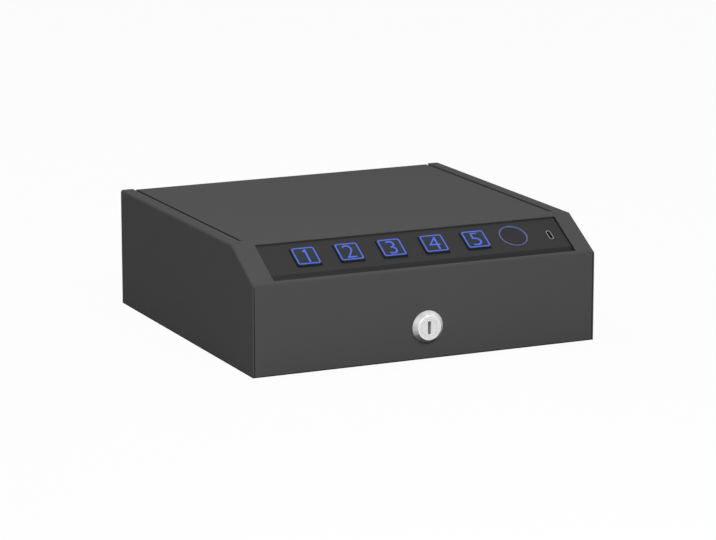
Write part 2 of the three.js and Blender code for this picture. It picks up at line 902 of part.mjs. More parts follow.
function solenoidCoil() {
  const start = solenoidStart + solenoidSheet + seatGap;
  const end = solenoidEnd - solenoidSheet - seatGap;
  return rodAlongY(coilDiameter * half, solenoidAcross, solenoidAxis, start, end)
    .subtract(rodAlongY(
      plungerDiameter * half + seatGap, solenoidAcross, solenoidAxis, 0, reach, 20,
    ));
}

// A bridge on the floor that carries the bolt and the solenoid.
function latchBracket() {
  const floor = bridgeTop - bridgeSheet;
  const slot = boltWidth * half + slotSide;
  let bridge = box(bridgeLeft, bridgeRight, bridgeFront, bridgeRear, floor, bridgeTop);
  for (const left of [bridgeLeft, bridgeRight - bridgeSheet]) {
    bridge = bridge.add(box(
      left, left + bridgeSheet, legFront, bridgeRear, sheet, floor + bridgeSheet * half,
    ));
  }
  return bridge.subtract(box(
    -slot, slot, slotFront, slotRear, floor - overrun, bridgeTop + overrun,
  ));
}

function boltGuide() {
  const passage = boltWidth * half + seatGap;
  const top = boltFloor + boltHeight + seatGap;
  return box(
    -passage - guideWall, passage + guideWall, guideStart, guideEnd, bridgeTop, top + guideWall,
  ).subtract(box(
    -passage, passage, guideStart - overrun, guideEnd + overrun, boltFloor - seatGap, top,
  ));
}

// The sheet between the front room and the space for valuables.
function innerCover() {
  const end = coverStart + sheet;
  const neck = lidHalf - sheet - seatGap - seatGap;
  const shape = outline([
    [-insideHalf, sheet], [insideHalf, sheet], [insideHalf, coverShoulder], [neck, coverShoulder],
    [neck, coverTop], [-neck, coverTop], [-neck, coverShoulder], [-insideHalf, coverShoulder],
  ]);
  const slot = strikerHalfWidth + coverSlot;
  const doorLeft = trayLeft;
  const doorRight = trayLeft + trayWidth;
  return alongY(shape, coverStart, end)
    .add(box(-neck, neck, coverStart - coverLip, end, coverTop - sheet, coverTop))
    .subtract(box(
      -slot, slot, coverStart - coverLip - overrun, strikerStart + strikerHalfWidth * half + coverSlot,
      coverShoulder, coverTop + overrun,
    ))
    .subtract(box(
      doorLeft, doorRight, coverStart - overrun, coverStart + overrun, doorLow, doorHigh,
    ));
}

function batteryDoor() {
  const start = coverStart + sheet + seatGap;
  return box(
    trayLeft - doorLap, trayLeft + trayWidth + doorLap, start, start + doorThickness,
    doorLow - doorLap * half, doorHigh + doorLap,
  );
}

function batteryTray() {
  const right = trayLeft + trayWidth;
  return box(trayLeft, right, trayFront, trayRear, sheet, sheet + trayWall + trayHeight)
    .subtract(box(
      trayLeft + trayWall, right - trayWall, trayFront + trayWall, trayRear - trayWall,
      sheet + trayWall, sheet + trayHeight + overrun,
    ));
}

function batteryCell(i) {
  const across = trayLeft + trayWall + cellGap + (i + half) * cellDiameter + i * cellGap;
  const height = sheet + trayWall + seatGap + cellDiameter * half;
  const start = trayFront + trayEnds;
  return rodAlongY(cellDiameter * half, across, height, start, start + cellLength, 20);
}

function lidBumper(across) {
  const back = coverStart + sheet - bumperDiameter * half;
  return rodAlongZ(bumperDiameter * half, across, back, coverTop, lidUnder - seatGap, 20);
}

function foamMat() {
  return box(
    -insideHalf, insideHalf, coverStart + sheet + seatGap, caseDepth - sheet - seatGap,
    sheet + seatGap, sheet + seatGap + matThickness,
  );
}

piece(body, 'case_shell', caseShell(), painted);
piece(body, 'rear_panel', rearPanel(), painted);
piece(body, 'base_plate', basePlate(), painted);
piece(body, 'lid_plate', lidPlate(), painted);
piece(body, 'striker', striker(), plated);
piece(slope, 'keypad_bezel', keypadBezel(), blackPlastic);
piece(slope, 'circuit_board', circuitBoard(), boardGreen);
for (let i = 0; i < keyCount; i += 1) {
  const across = firstKey + i * keyPitch;
  piece(slope, `key_${i + 1}`, key(across), keyPlastic);
  piece(slope, `key_switch_${i + 1}`, tactSwitch(across), blackPlastic);
}
bossPlaces().forEach((across, i) => {
  piece(slope, `board_screw_${i + 1}`, boardScrew(across), plated);
});
[-1, 1].forEach((side, i) => {
  const across = side * (halfWidth - studFromSide);
  const start = side * (openingHalf - hingeFromLip);
  piece(slope, `bezel_nut_${i * 2 + 1}`, bezelNut(across, studLow), plated);
  piece(slope, `bezel_nut_${i * 2 + 2}`, bezelNut(across, studHigh), plated);
  piece(body, `hinge_ear_${i + 1}`, hingeEar(start - earThickness - seatGap), plated);
  piece(body, `hinge_bracket_${i + 1}`, hingeBracket(start + seatGap), plated);
  piece(body, `lid_spring_${i + 1}`, torsionSpring(side * (openingHalf - springFromLip)), plated);
  piece(body, `lid_bumper_${i + 1}`, lidBumper(side * (openingHalf - bumperFromLip)), rubber);
});
piece(body, 'hinge_rod', hingeRod(), plated);
piece(slope, 'fingerprint_ring', fingerprintRing(), lightPlastic);
piece(slope, 'fingerprint_sensor', fingerprintSensor(), glassBlack);
piece(slope, 'charging_port', chargingPort(), chromed);
piece(slope, 'port_tongue', portTongue(), blackPlastic);
piece(body, 'lock_housing', lockHousing(), chromed);
piece(body, 'lock_plug', lockPlug(), chromed);
piece(body, 'lock_nut', lockNut(), plated);
piece(body, 'lock_cam', lockCam(), plated);
piece(body, 'cam_nut', camNut(), brass);
piece(body, 'release_link', releaseLink(), plated);
piece(body, 'latch_bolt', latchBolt(), plated);
piece(body, 'solenoid_plunger', solenoidPlunger(), plated);
piece(body, 'solenoid_frame', solenoidFrame(), plated);
piece(body, 'solenoid_coil', solenoidCoil(), copper);
piece(body, 'latch_bracket', latchBracket(), plated);
piece(body, 'bolt_guide', boltGuide(), blackPlastic);
piece(body, 'inner_cover', innerCover(), painted);
piece(body, 'battery_door', batteryDoor(), blackPlastic);
piece(body, 'battery_tray', batteryTray(), blackPlastic);
for (let i = 0; i < cellCount; i += 1) {
  piece(body, `battery_${i + 1}`, batteryCell(i), cellWrap);
}
piece(body, 'foam_mat', foamMat(), foam);

export default safe;
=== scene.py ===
from math import atan2, hypot, pi, radians

import bmesh
import bpy
from mathutils import Matrix, Vector


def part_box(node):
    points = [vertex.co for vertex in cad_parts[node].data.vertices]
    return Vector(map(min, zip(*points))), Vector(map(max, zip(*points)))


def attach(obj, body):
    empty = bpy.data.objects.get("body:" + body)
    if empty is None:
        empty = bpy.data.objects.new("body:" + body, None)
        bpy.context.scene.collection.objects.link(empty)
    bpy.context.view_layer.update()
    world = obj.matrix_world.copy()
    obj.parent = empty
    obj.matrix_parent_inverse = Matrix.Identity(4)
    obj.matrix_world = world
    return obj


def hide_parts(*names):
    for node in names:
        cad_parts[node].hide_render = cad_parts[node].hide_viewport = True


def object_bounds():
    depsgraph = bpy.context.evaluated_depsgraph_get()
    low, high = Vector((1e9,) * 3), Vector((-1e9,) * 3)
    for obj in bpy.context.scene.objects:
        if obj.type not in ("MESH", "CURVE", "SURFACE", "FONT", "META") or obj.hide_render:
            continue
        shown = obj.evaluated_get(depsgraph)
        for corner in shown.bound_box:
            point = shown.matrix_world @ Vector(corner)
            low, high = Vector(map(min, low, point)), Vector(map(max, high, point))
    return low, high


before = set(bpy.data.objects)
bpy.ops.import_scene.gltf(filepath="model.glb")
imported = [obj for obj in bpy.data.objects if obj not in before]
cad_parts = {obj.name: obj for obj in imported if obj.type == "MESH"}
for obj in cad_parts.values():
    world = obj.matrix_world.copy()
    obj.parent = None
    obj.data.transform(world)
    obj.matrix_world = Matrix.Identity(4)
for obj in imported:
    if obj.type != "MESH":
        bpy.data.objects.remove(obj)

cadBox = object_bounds()
mm = 0.001

case = {                                               # millimetres, as in the other pieces
    "depth": 284, "height": 98, "bendHeight": 74, "slopeRun": 42,
    "hingeInset": 5, "hingeBelowTop": 5,
}
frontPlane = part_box("case_shell")[0][1] / mm           # the front sheet's outer face
slopeAngle = atan2(case["height"] - case["bendHeight"], case["slopeRun"])
inCase = Matrix.Translation((0, frontPlane * mm, 0)) @ Matrix.Scale(mm, 4)
onSlope = (inCase @ Matrix.Translation((0, 0, case["bendHeight"]))
           @ Matrix.Rotation(slopeAngle, 4, "X"))
offSlope = onSlope.inverted()


# Shader sums: a wire is the socket that a value comes out of
class Wire:
    def __init__(self, tree, socket):
        self.tree = tree
        self.socket = socket

    def sum(self, operation, a, b):
        node = self.tree.nodes.new("ShaderNodeMath")
        node.operation = operation
        for slot, value in zip(node.inputs, (a, b)):
            if isinstance(value, Wire):
                self.tree.links.new(value.socket, slot)
            else:
                slot.default_value = value
        return Wire(self.tree, node.outputs[0])

    def __add__(self, other):
        return self.sum("ADD", self, other)

    def __radd__(self, other):
        return self.sum("ADD", other, self)

    def __sub__(self, other):
        return self.sum("SUBTRACT", self, other)

    def __rsub__(self, other):
        return self.sum("SUBTRACT", other, self)

    def __mul__(self, other):
        return self.sum("MULTIPLY", self, other)

    def __rmul__(self, other):
        return self.sum("MULTIPLY", other, self)

    def __pow__(self, other):
        return self.sum("POWER", self, other)

    def over(self, limit):
        return self.sum("GREATER_THAN", self, limit)


class Nodes:
    def __init__(self, tree):
        self.tree = tree
        tree.nodes.clear()

    def node(self, kind, settings=(), values=(), stops=(), output=0):
        node = self.tree.nodes.new(kind)
        for name, value in dict(settings).items():
            setattr(node, name, value)
        if stops:
            ramp = node.color_ramp
            ramp.interpolation = "EASE"
            while len(ramp.elements) < len(stops):
                ramp.elements.new(1.0)
            for element, (position, grey) in zip(ramp.elements, stops):
                element.position = position
                element.color = (grey, grey, grey, 1)
        for name, value in dict(values).items():
            if isinstance(value, Wire):
                self.tree.links.new(value.socket, node.inputs[name])
            else:
                node.inputs[name].default_value = value
        return Wire(self.tree, node.outputs[output]) if node.outputs else None

    def seen(self):                                    # 1 where the eye, a gloss or a glass looks
        camera, glossy, clear = [
            self.node("ShaderNodeLightPath", output=f"Is {ray} Ray")
            for ray in ("Camera", "Glossy", "Transmission")]
        return (camera + glossy + clear).over(0.5)


class Finish(Nodes):
    def __init__(self, name):
        self.material = bpy.data.materials.new(name)
        self.material.use_nodes = True
        super().__init__(self.material.node_tree)
        self.place = self.node("ShaderNodeTexCoord", output="Object")

    def noise(self, scale, detail=2, stretch=None):
        place = self.place
        if stretch:
            place = self.node("ShaderNodeMapping", values={"Vector": place, "Scale": stretch})
        return self.node("ShaderNodeTexNoise", output="Fac", values={
            "Vector": place, "Scale": scale, "Detail": detail})

    def axis(self, vector, which):
        return self.node("ShaderNodeSeparateXYZ", values={0: vector}, output="XYZ".index(which))

    def spread(self, wire, low, high):                 # the middle of a noise, drawn out
        return self.node("ShaderNodeMapRange", values={
            "Value": wire, "From Min": 0.3, "From Max": 0.7, "To Min": low, "To Max": high})

    def around(self, wire, centre, spread):
        return self.spread(wire, centre - spread, centre + spread)

    def mix(self, factor, first, second, blend="MIX"):
        return self.node("ShaderNodeMix", {"data_type": "RGBA", "blend_type": blend},
                         {0: factor, 6: first, 7: second}, output=2)

    def shade(self, colour, wire, depth):
        dark = [c * (1 - depth) for c in colour] + [1]
        light = [c * (1 + depth) for c in colour] + [1]
        return self.mix(wire, dark, light)

    def bump(self, height, depth):
        return self.node("ShaderNodeBump", values={"Height": height, "Distance": depth * mm})

    def done(self, values, surface=None):
        if surface is None:
            surface = self.node("ShaderNodeBsdfPrincipled", values=values)
        self.node("ShaderNodeOutputMaterial", values={"Surface": surface})
        return self.material


# Finishes
def grained(name, look):
    f = Finish(name)
    grain = f.noise(look["grain"], detail=3)
    drift = f.noise(look["drift"])
    blotch = drift * look["patches"] + grain * (1 - look["patches"])
    tone = f.shade(look["colour"], f.spread(blotch, 0, 1), look["shade"])
    if "foot" in look:                                 # painted shade along the bottom, where the case meets the floor
        inFootShade = 1 - f.axis(f.place, "Z").over(look["foot"] * mm)
        tone = f.mix(inFootShade, tone, [c * look["footPaintedShade"] for c in look["colour"]] + [1])
    return f.done({
        "Base Color": tone,
        "Roughness": f.around(drift, look["rough"], look["roughSpread"]),
        "Specular IOR Level": look["specular"],
        "Normal": f.bump(grain, look["relief"]),
    })


def drawn(name, look):
    f = Finish(name)
    streak = f.noise(look["grain"], detail=3, stretch=look["stretch"])
    drift = f.noise(look["drift"])
    blotch = streak * look["streaks"] + drift * (1 - look["streaks"])
    return f.done({
        "Base Color": f.shade(look["colour"], f.spread(blotch, 0, 1), look["shade"]),
        "Roughness": f.around(streak, look["rough"], look["roughSpread"]),
        "Metallic": 1.0,
        "Normal": f.bump(streak, look["relief"]),
    })


def turnedMetalPaintedLight(name, look):
    f = Finish(name)
    centred = f.node("ShaderNodeMapping", values={
        "Vector": f.place, "Location": (0, 0, -look["height"] * mm)})
    x = f.axis(centred, "X")
    z = f.axis(centred, "Z")
    angle = f.node("ShaderNodeMath", {"operation": "ARCTAN2"}, {0: z, 1: x})
    turn = angle * (1 / (2 * pi)) + 0.5
    radius = (x * x + z * z) ** 0.5
    # painted light and shade: the cone's brightness is set by its angle round the lock
    cone = f.node("ShaderNodeValToRGB", stops=look["paintedLightSectors"], values={"Fac": turn})
    # painted highlight: the band from the rim out to the cone is lighter than the face
    face = f.mix(radius.over(look["rim"] * mm), look["face"], look["edge"])
    tone = f.mix(radius.over(look["cone"] * mm), face, cone)
    spokes = f.node("ShaderNodeCombineXYZ", values={
        0: turn * look["spokes"], 1: radius * look["rings"]})
    streak = f.node("ShaderNodeTexNoise", output="Fac", values={
        "Vector": spokes, "Scale": 1.0, "Detail": 3})
    return f.done({
        "Base Color": f.mix(f.spread(streak, 0, look["streaks"]), tone, look["dull"], "MULTIPLY"),
        "Roughness": f.around(streak, look["rough"], look["roughSpread"]),
        "Metallic": look["metal"],
        "Normal": f.bump(streak, look["relief"]),
    })


def lit(name, look):
    f = Finish(name)
    mottle = f.noise(look["grain"])
    return f.done({
        "Base Color": f.shade(look["colour"], mottle, look["shade"]),
        "Roughness": f.spread(mottle, *look["rough"]),
        "Specular IOR Level": look["specular"],
        "Emission Color": f.shade(look["glow"], f.spread(mottle, 0, 1), look["uneven"]),
        "Emission Strength": 1.0,
    })


def winding(name, look):
    f = Finish(name)
    turns = f.node("ShaderNodeTexWave", {"bands_direction": "Y"}, {
        "Vector": f.place, "Scale": look["turns"], "Distortion": look["wander"]}, output="Fac")
    tone = f.noise(look["grain"])
    blotch = turns * look["grooves"] + tone * (1 - look["grooves"])
    return f.done({
        "Base Color": f.shade(look["colour"], f.spread(blotch, 0, 1), look["shade"]),
        "Roughness": f.spread(tone, *look["rough"]),
        "Metallic": look["metal"],
        "Normal": f.bump(turns, look["relief"]),
    })


def tracks(name, look):
    f = Finish(name)
    cells = f.node("ShaderNodeTexBrick", {"offset": look["offset"]}, {
        "Vector": f.place, "Scale": look["cells"], "Mortar Size": look["track"],
        "Color1": look["mask"], "Color2": look["darkMask"], "Mortar": look["copper"]},
        output="Color")
    tone = f.noise(look["grain"])
    return f.done({
        "Base Color": cells,
        "Roughness": f.spread(tone, *look["rough"]),
        "Specular IOR Level": look["specular"],
        "Normal": f.bump(tone, look["relief"]),
    })


def cellular(name, look):
    f = Finish(name)
    cells = f.node("ShaderNodeTexVoronoi", {"feature": "DISTANCE_TO_EDGE"},
                   {"Vector": f.place, "Scale": look["grain"]}, output="Distance")
    tone = f.noise(look["drift"])
    blotch = cells * look["pores"] + tone * look["patches"]
    return f.done({
        "Base Color": f.shade(look["colour"], f.spread(blotch, 0, 1), look["shade"]),
        "Roughness": f.spread(tone, *look["rough"]),
        "Specular IOR Level": look["specular"],
        "Normal": f.bump(cells, look["relief"]),
    })


def banded(name, look):
    f = Finish(name)
    band = f.axis(f.place, "Y").over(look["bandFrom"] * mm)
    tone = f.noise(look["grain"])
    blotch = band * look["band"] + tone * (1 - look["band"])
    return f.done({
        "Base Color": f.shade(look["colour"], blotch, look["shade"]),
        "Roughness": f.spread(tone, *look["rough"]),
        "Specular IOR Level": look["specular"],
    })


coat = {                                               # powder coat, and mouldings like it
    "grain": 1500, "drift": 9, "patches": 0.6, "shade": 0.02, "rough": 0.75,
    "roughSpread": 0.03, "specular": 0.012, "relief": 0.018,
}
plate = {                                              # drawn, rolled and plated metal
    "stretch": (1, 1, 1), "drift": 25, "streaks": 0.5, "shade": 0.06, "roughSpread": 0.06,
}
glowing = {"shade": 0.1, "rough": (0.32, 0.42), "specular": 0.25}
finishes = {
    # the case coat paints shade: its bottom 0.8 mm is darkened to a quarter, where the case meets
    # the floor
    "caseCoat": grained("caseCoat", {
        **coat, "colour": (0.076, 0.076, 0.076), "foot": 0.8, "footPaintedShade": 0.25}),
    # painted shade: a near-black coat for the seam grooves and the lid skirts in the gap
    "paintedGapShade": grained("paintedGapShade", {**coat, "colour": (0.028, 0.028, 0.028)}),
    "lidCoat": grained("lidCoat", {**coat, "colour": (0.076, 0.076, 0.076)}),
    "panelMoulding": grained("panelMoulding", {
        **coat, "colour": (0.040, 0.040, 0.040), "grain": 2200, "relief": 0.012, "rough": 0.55}),
    "keyMoulding": grained("keyMoulding", {
        **coat, "colour": (0.018, 0.027, 0.034), "grain": 2600, "relief": 0.006, "rough": 0.45,
        "specular": 0.12}),
    "blackMoulding": grained("blackMoulding", {
        **coat, "colour": (0.014, 0.014, 0.015), "grain": 1800, "relief": 0.02, "rough": 0.5}),
    "softRubber": grained("softRubber", {
        **coat, "colour": (0.018, 0.018, 0.018), "grain": 900, "relief": 0.03, "rough": 0.85}),
    "sensorGlass": grained("sensorGlass", {
        **coat, "colour": (0.036, 0.034, 0.036), "grain": 3000, "relief": 0.003, "rough": 0.42}),
    "zincPlate": drawn("zincPlate", {
        **plate, "colour": (0.56, 0.56, 0.57), "grain": 320, "stretch": (1, 0.15, 1),
        "rough": 0.34, "relief": 0.01}),
    "springWire": drawn("springWire", {
        **plate, "colour": (0.40, 0.40, 0.42), "grain": 900, "rough": 0.3, "relief": 0.008}),
    "wardSteel": drawn("wardSteel", {
        **plate, "colour": (0.68, 0.68, 0.69), "grain": 1200, "stretch": (1, 1, 0.2),
        "rough": 0.5, "relief": 0.01}),
    "satinNickel": drawn("satinNickel", {
        **plate, "colour": (0.34, 0.34, 0.35), "grain": 700, "stretch": (0.3, 1, 1),
        "rough": 0.3, "relief": 0.004}),
    # the lock's finish paints light: a lighter rim band as a highlight, and light and shade round
    # the cone by angle
    "lockTurnedPaintedLight": turnedMetalPaintedLight("lockTurnedPaintedLight", {
        "height": 26, "rim": 9.35, "cone": 9.95, "face": (0.80, 0.80, 0.80, 1),
        "edge": (0.97, 0.97, 0.97, 1), "dull": (0.55, 0.55, 0.56, 1), "spokes": 260,
        "rings": 90, "streaks": 0.3, "rough": 0.32, "roughSpread": 0.05, "metal": 0.3,
        "relief": 0.002, "paintedLightSectors": [                  # painted light and shade by angle: left 0, bottom 0.25, right 0.5, top 0.75; dark lower left, painted highlight upper right
            (0.0, 0.62), (0.05, 0.42), (0.09, 0.12), (0.16, 0.03), (0.3, 0.04), (0.4, 0.22),
            (0.47, 0.65), (0.53, 0.95), (0.6, 1.0), (0.67, 0.95), (0.76, 0.74), (0.84, 0.62),
            (0.92, 0.80), (1.0, 0.62)]}),
    "turnedBrass": drawn("turnedBrass", {
        **plate, "colour": (0.60, 0.42, 0.17), "grain": 500, "rough": 0.28, "relief": 0.006}),
    "litFrame": lit("litFrame", {
        **glowing, "colour": (0.03, 0.035, 0.12), "glow": (0.055, 0.10, 0.58), "grain": 260,
        "uneven": 0.12}),
    "litRing": lit("litRing", {
        **glowing, "colour": (0.06, 0.065, 0.10), "glow": (0.03, 0.038, 0.14), "grain": 120,
        "uneven": 0.3}),
    "copperWinding": winding("copperWinding", {
        "colour": (0.36, 0.12, 0.05), "turns": 480, "wander": 0.4, "grooves": 0.7, "grain": 120,
        "shade": 0.3, "rough": (0.28, 0.42), "metal": 0.8, "relief": 0.08}),
    "boardMask": tracks("boardMask", {
        "mask": (0.02, 0.1, 0.045, 1), "darkMask": (0.016, 0.085, 0.04, 1),
        "copper": (0.045, 0.2, 0.09, 1), "cells": 90, "offset": 0.35, "track": 0.03,
        "grain": 200, "rough": (0.35, 0.5), "specular": 0.4, "relief": 0.02}),
    "foamCells": cellular("foamCells", {
        "colour": (0.02, 0.02, 0.022), "grain": 700, "drift": 60, "pores": 2, "patches": 0.5,
        "shade": 0.25, "rough": (0.88, 0.98), "specular": 0.2, "relief": 0.12}),
    "cellJacket": banded("cellJacket", {
        "colour": (0.22, 0.23, 0.25), "bandFrom": -98, "band": 0.7, "grain": 90,
        "shade": 0.55, "rough": (0.26, 0.36), "specular": 0.45}),
}
print("finishes made")


# Building
shaping = {                                            # millimetres and degrees
    "meet": 0.0001, "weld": 0.001, "flat": 0.6, "sharp": 40, "smooth": 35, "smoothRound": 60,
    "faceWeight": 80,
}


def give(bm, name, finish, body, node=None, second=None, smooth=shaping["smooth"]):
    mesh = bpy.data.meshes.new(name)
    bm.to_mesh(mesh)
    bm.free()
    piece = bpy.data.objects.new(name, mesh)
    bpy.context.collection.objects.link(piece)
    mesh.materials.append(finishes[finish])
    if second:                                         # for the faces with material_index 1
        mesh.materials.append(finishes[second])
    mesh.set_sharp_from_angle(angle=radians(smooth))
    for face in mesh.polygons:
        face.use_smooth = True
    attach(piece, body)
    if node:
        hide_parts(node)
    return piece


def weigh(piece):
    modifier = piece.modifiers.new("faceWeights", "WEIGHTED_NORMAL")
    modifier.keep_sharp = True
    modifier.weight = shaping["faceWeight"]


def soften(bm, edges, width, segments=3):
    bmesh.ops.bevel(bm, geom=list(edges), offset=width, offset_type="OFFSET",
                    segments=segments, profile=0.5, affect="EDGES", material=-1,
                    clamp_overlap=True)


def block(bm, low, high):
    made = bmesh.ops.create_cube(bm, size=1)["verts"]
    size = [b - a for a, b in zip(low, high)]
    centre = [(a + b) / 2 for a, b in zip(low, high)]
    bmesh.ops.scale(bm, vec=size, verts=made)
    bmesh.ops.translate(bm, vec=centre, verts=made)
    return made


def turned(bm, profile, steps):                        # each point is a radius and a height
    verts = [bm.verts.new((radius, 0, height)) for radius, height in profile]
    edges = [bm.edges.new(pair) for pair in zip(verts, verts[1:])]
    if profile[0][0] > 0:                              # a ring's outline closes on itself
        edges.append(bm.edges.new((verts[-1], verts[0])))
    bmesh.ops.spin(bm, geom=verts + edges, cent=(0, 0, 0), axis=(0, 0, 1), dvec=(0, 0, 0),
                   angle=2 * pi, steps=steps, use_merge=True, use_duplicate=False)
    bmesh.ops.remove_doubles(bm, verts=bm.verts, dist=shaping["meet"])
    bmesh.ops.recalc_face_normals(bm, faces=bm.faces)


def copied(node, softened):                            # softened: which edges, width, segments
    bm = bmesh.new()
    bm.from_mesh(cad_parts[node].data)
    bmesh.ops.remove_doubles(bm, verts=bm.verts, dist=shaping["weld"] * mm)
    bmesh.ops.dissolve_limit(bm, angle_limit=radians(shaping["flat"]), verts=bm.verts,
                             edges=bm.edges, use_dissolve_boundaries=False)
    for chosen, width, segments in softened:
        edges = [e for e in bm.edges if len(e.link_faces) == 2 and e.is_convex
                 and e.calc_face_angle(0) > radians(shaping["sharp"]) and chosen(e)]
        if edges:
            soften(bm, edges, width * mm, segments)
    return bm


def fromFront(point):                                  # millimetres, from the front sheet's foot
    return point / mm - Vector((0, frontPlane, 0))


def middle(edge):
    return fromFront((edge.verts[0].co + edge.verts[1].co) / 2)


def roundedSquare(bm, across, up, width, length, radius, height, steps=5):
    made = bmesh.ops.create_grid(bm, x_segments=1, y_segments=1, size=0.5)["verts"]
    bmesh.ops.scale(bm, vec=(width, length, 1), verts=made)
    bmesh.ops.translate(bm, vec=(across, up, height), verts=made)
    bmesh.ops.bevel(bm, geom=made, offset=radius, offset_type="OFFSET", segments=steps,
                    profile=0.5, affect="VERTICES", material=-1)
    bm.faces.ensure_lookup_table()
    return bm.faces[-1]


def raised(bm, faces, depth, keep=True):
    grown = bmesh.ops.extrude_face_region(bm, geom=list(faces))["geom"]
    verts = [g for g in grown if isinstance(g, bmesh.types.BMVert)]
    bmesh.ops.translate(bm, vec=(0, 0, depth), verts=verts)
    if not keep:
        bmesh.ops.delete(bm, geom=list(faces), context="FACES_ONLY")
    return [g for g in grown if isinstance(g, bmesh.types.BMFace)]


# Folded case, its lid and the panel: the CAD shapes with softened edges
folds = {
    "rim": 0.22, "windowReach": 135, "lip": 0.3, "openingReach": 140, "openingFrom": 51,
    "openingOver": 87.5, "seam": (148.3, 149.1), "seamDepth": (0.05, 0.9), "hem": 0.25,
    "hemUnder": 90.5, "upright": 0.7, "panelRim": 0.25,
}


def nearWindow(edge):
    spot = middle(edge)
    return (spot.z > case["bendHeight"] and spot.y < case["slopeRun"]
            and abs(spot.x) < folds["windowReach"])


def nearOpening(edge):
    spot = middle(edge)
    return (abs(spot.x) < folds["openingReach"] and spot.y > folds["openingFrom"]
            and spot.z > folds["openingOver"])


def onHem(edge):
    return middle(edge).z < folds["hemUnder"]


shell = copied("case_shell", [(nearWindow, folds["rim"], 2), (nearOpening, folds["lip"], 2)])
for face in shell.faces:                               # painted shade: the groove of each corner seam takes the near-black gap coat
    spot = fromFront(face.calc_center_median())
    inGroove = folds["seam"][0] < abs(spot.x) < folds["seam"][1]
    if inGroove and folds["seamDepth"][0] < spot.y < folds["seamDepth"][1]:
        face.material_index = 1
weigh(give(shell, "foldedCase", "caseCoat", "case", "case_shell", "paintedGapShade"))

lidEdges = copied("lid_plate", [(onHem, folds["hem"], 2)])
lidEdges.normal_update()
for face in lidEdges.faces:                            # painted shade: the skirts that show in the gap take the near-black gap coat
    if abs(face.normal.x) > folds["upright"] or face.normal.y < -folds["upright"]:
        face.material_index = 1
weigh(give(lidEdges, "liftingLid", "lidCoat", "lid", "lid_plate", "paintedGapShade"))

panelEdges = copied("keypad_bezel", [(nearWindow, folds["panelRim"], 2)])
weigh(give(panelEdges, "keypadPanel", "panelMoulding", "case", "keypad_bezel"))
print("case, lid and panel made")


# Keys with their lit frames and numerals
keys = {
    "bodies": ["first_key", "second_key", "third_key", "fourth_key", "fifth_key"],
    "first": -94.599, "pitch": 37.2, "up": 26.9, "half": 10.2, "corner": 2.0, "crown": 0.5,
    "proud": 0.5, "near": 0.1, "level": 0.05, "frame": 19.2, "line": 1.15, "frameCorner": 2.1,
    "inlay": 0.03, "sunk": 0.3, "numeral": 14.9, "widen": 0.98, "thin": -0.012,
    "extrude": 0.01, "numeralDepth": 0.1, "flag": 3.8, "stroke": 1.2, "flagTurn": 38,
    "flagShift": 0.36, "flagUnder": 0.01, "flagDepth": 0.18, "oneAside": 1.1,
}


def keyCap(node, across):
    def fromCentre(edge):
        return [offSlope @ v.co - Vector((across, keys["up"], 0)) for v in edge.verts]

    def corner(edge):
        foot, head = fromCentre(edge)
        upright = abs(head.z - foot.z) > keys["half"] / 2
        return upright and abs(foot.x) > keys["half"] - keys["near"]

    def crown(edge):
        return all(spot.z > keys["proud"] - keys["level"] for spot in fromCentre(edge))

    return copied(node, [(corner, keys["corner"], 5), (crown, keys["crown"], 4)])


def litSquare(across):
    bm = bmesh.new()
    face = roundedSquare(bm, across, keys["up"], keys["frame"], keys["frame"],
                         keys["frameCorner"], keys["proud"] - keys["sunk"])
    line = bmesh.ops.inset_region(bm, faces=[face], thickness=keys["line"],
                                  use_even_offset=True, use_boundary=True)["faces"]
    bmesh.ops.delete(bm, geom=[f for f in bm.faces if f not in line], context="FACES")
    raised(bm, list(bm.faces), keys["sunk"] + keys["inlay"])
    bmesh.ops.recalc_face_normals(bm, faces=bm.faces)
    bmesh.ops.transform(bm, matrix=onSlope, verts=bm.verts)
    return bm


def addFlag(bm, across):                               # the short stroke at the head of the 1
    top = max(v.co.z for v in bm.verts) - keys["flagUnder"]
    flag = block(bm, (-keys["flag"], -keys["stroke"], top - keys["flagDepth"]), (0, 0, top))
    bmesh.ops.rotate(bm, cent=(0, 0, 0), verts=flag,
                     matrix=Matrix.Rotation(radians(keys["flagTurn"]), 3, "Z"))
    bmesh.ops.translate(bm, verts=flag, vec=(
        across + keys["flagShift"], keys["up"] + keys["numeral"] / 2, 0))
    bmesh.ops.translate(bm, verts=bm.verts, vec=(keys["oneAside"], 0, 0))


def numeral(digit, across):
    text = bpy.data.curves.new("digitOutline", "FONT")
    text.body = digit
    text.offset = keys["thin"]
    text.extrude = keys["extrude"]
    holder = bpy.data.objects.new("digitHolder", text)
    bpy.context.collection.objects.link(holder)
    bpy.context.view_layer.update()
    bm = bmesh.new()
    bm.from_mesh(bpy.data.meshes.new_from_object(holder))
    bpy.data.objects.remove(holder)
    low, high = [[pick(v.co[i] for v in bm.verts) for i in (0, 1)] for pick in (min, max)]
    scale = keys["numeral"] / (high[1] - low[1])
    depth = keys["numeralDepth"]
    place = (Matrix.Translation((across, keys["up"], keys["proud"] + keys["inlay"] - depth))
             @ Matrix.Diagonal((scale * keys["widen"], scale, depth / keys["extrude"], 1))
             @ Matrix.Translation((-(low[0] + high[0]) / 2, -(low[1] + high[1]) / 2, 0)))
    bmesh.ops.transform(bm, matrix=place, verts=bm.verts)
    bmesh.ops.remove_doubles(bm, verts=bm.verts, dist=shaping["meet"])
    if digit == "1":
        addFlag(bm, across)
    bmesh.ops.transform(bm, matrix=onSlope, verts=bm.verts)
    return bm


for i, body in enumerate(keys["bodies"]):
    across = keys["first"] + i * keys["pitch"]
    number = str(i + 1)
    node = "key_" + number
    give(keyCap(node, across), "keyCap_" + number, "keyMoulding", body, node)
    give(litSquare(across), "keyFrame_" + number, "litFrame", body)
    give(numeral(number, across), "keyNumeral_" + number, "litFrame", body)
print("keys made")


